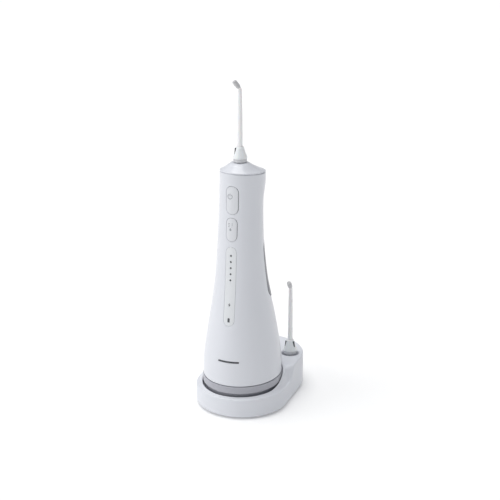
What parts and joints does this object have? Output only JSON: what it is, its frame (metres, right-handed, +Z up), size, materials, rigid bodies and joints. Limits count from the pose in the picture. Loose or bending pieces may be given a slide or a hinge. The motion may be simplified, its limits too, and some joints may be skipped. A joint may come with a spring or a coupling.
{
  "type": "cordless water flosser",
  "caption": "Cordless oral irrigator on its charging stand: white handset with jet nozzle, buttons, level window, rear filler cap, lift-off tank, inner pump drive and a spare nozzle.",
  "frame": {"origin": "middle of the outline's bounding box, on the underside of the stand's feet", "axes": "+Z up along the handset, front with the buttons towards -Y, +X to the viewer's right"},
  "size_m": [0.08, 0.119, 0.2871],
  "materials": {
    "white_gloss": "gloss",
    "white_satin": "satin",
    "nozzle_white": "satin",
    "smoke_grey": "satin",
    "tank_grey": "gloss",
    "window_white": "gloss",
    "mark_grey": "matte",
    "ring_grey": "satin",
    "rubber_grey": "matte",
    "black_plastic": "satin",
    "frame_plastic": "satin",
    "board_green": "satin",
    "copper": "satin",
    "steel": "satin",
    "gear_nylon": "satin",
    "cell_blue": "gloss",
    "hose_clear": "satin"
  },
  "bodies": {
    "stand": {"stand_shell": "white_satin", "stand_bottom_cover": "white_satin", "stand_foot_1": "rubber_grey", "stand_foot_2": "rubber_grey", "stand_foot_3": "rubber_grey", "stand_foot_4": "rubber_grey", "stand_screw_1": "steel", "stand_screw_2": "steel", "stand_screw_3": "steel", "stand_screw_4": "steel", "transmitter_coil": "copper", "stand_circuit_board": "board_green", "cord_inlet_socket": "black_plastic"},
    "tank": {"water_tank": "tank_grey", "tank_seal": "rubber_grey"},
    "housing": {"housing_shell": "white_gloss", "head_cap": "white_gloss", "indicator_window": "window_white", "level_lamp_1": "mark_grey", "level_lamp_2": "mark_grey", "level_lamp_3": "mark_grey", "level_lamp_4": "mark_grey", "level_lamp_5": "mark_grey", "charge_lamp": "mark_grey", "battery_lamp": "mark_grey", "brand_bar": "mark_grey", "control_board": "board_green", "power_switch": "black_plastic", "pressure_switch": "black_plastic", "rear_panel": "smoke_grey", "release_spring": "steel", "chassis": "frame_plastic", "motor": "steel", "gear_axle": "steel", "pump_cylinder": "frame_plastic", "valve_block": "frame_plastic", "suction_tube": "hose_clear", "outlet_tube": "hose_clear", "battery_cell": "cell_blue", "receiver_coil": "copper"},
    "filler_cap": {"filler_cap": "smoke_grey", "filler_seal": "rubber_grey"},
    "power_button": {"power_button": "white_satin"},
    "pressure_button": {"pressure_button": "white_satin"},
    "release_button": {"release_button": "white_satin"},
    "pinion": {"motor_pinion": "steel"},
    "gear": {"drive_gear": "gear_nylon"},
    "rod": {"connecting_rod": "gear_nylon"},
    "piston": {"piston": "frame_plastic"},
    "socket": {"nozzle_socket": "frame_plastic"},
    "nozzle": {"nozzle_tube": "nozzle_white", "nozzle_knob": "nozzle_white", "nozzle_ring": "ring_grey"},
    "spare_nozzle": {"spare_nozzle_tube": "nozzle_white", "spare_nozzle_knob": "nozzle_white", "spare_nozzle_ring": "ring_grey"}
  },
  "joints": [
    {"name": "tank_lift", "type": "slide", "parent": "stand", "child": "tank", "axis": [0, 0, 1], "range_m": [0, 0.12]},
    {"name": "housing_lift", "type": "slide", "parent": "tank", "child": "housing", "axis": [0, 0, 1], "range_m": [0, 0.1]},
    {"name": "filler_hinge", "type": "hinge", "parent": "housing", "child": "filler_cap", "pos_m": [0, 0.00098, 0.1221], "axis": [1, 0, 0], "range_deg": [0, 105]},
    {"name": "power_press", "type": "slide", "parent": "housing", "child": "power_button", "axis": [0, 1, 0], "range_m": [0, 0.0007], "stiffness_N_per_m": 1500},
    {"name": "pressure_press", "type": "slide", "parent": "housing", "child": "pressure_button", "axis": [0, 1, 0], "range_m": [0, 0.0007], "stiffness_N_per_m": 1500},
    {"name": "release_press", "type": "slide", "parent": "housing", "child": "release_button", "axis": [0, -1, 0], "range_m": [0, 0.0006], "stiffness_N_per_m": 2000},
    {"name": "gear_turn", "type": "hinge", "parent": "housing", "child": "gear", "pos_m": [0, -0.0281, 0.1432], "axis": [0, 1, 0], "continuous": true},
    {"name": "pinion_turn", "type": "hinge", "parent": "housing", "child": "pinion", "pos_m": [0, -0.0281, 0.1272], "axis": [0, 1, 0], "continuous": true},
    {"name": "rod_turn", "type": "hinge", "parent": "gear", "child": "rod", "pos_m": [0.0022, -0.0238, 0.1432], "axis": [0, 1, 0], "continuous": true},
    {"name": "piston_stroke", "type": "slide", "parent": "housing", "child": "piston", "axis": [0, 0, 1], "range_m": [-0.0022, 0.0022]},
    {"name": "nozzle_turn", "type": "hinge", "parent": "housing", "child": "socket", "pos_m": [0, -0.025, 0.213], "axis": [0, 0, 1], "continuous": true},
    {"name": "nozzle_pull", "type": "slide", "parent": "socket", "child": "nozzle", "axis": [0, 0, 1], "range_m": [0, 0.03]},
    {"name": "spare_nozzle_pull", "type": "slide", "parent": "stand", "child": "spare_nozzle", "axis": [0, 0, 1], "range_m": [0, 0.045]}
  ],
  "couplings": [
    {"joint": "pinion_turn", "follows": "gear_turn", "ratio": -4.3},
    {"joint": "rod_turn", "follows": "gear_turn", "ratio": -1}
  ]
}
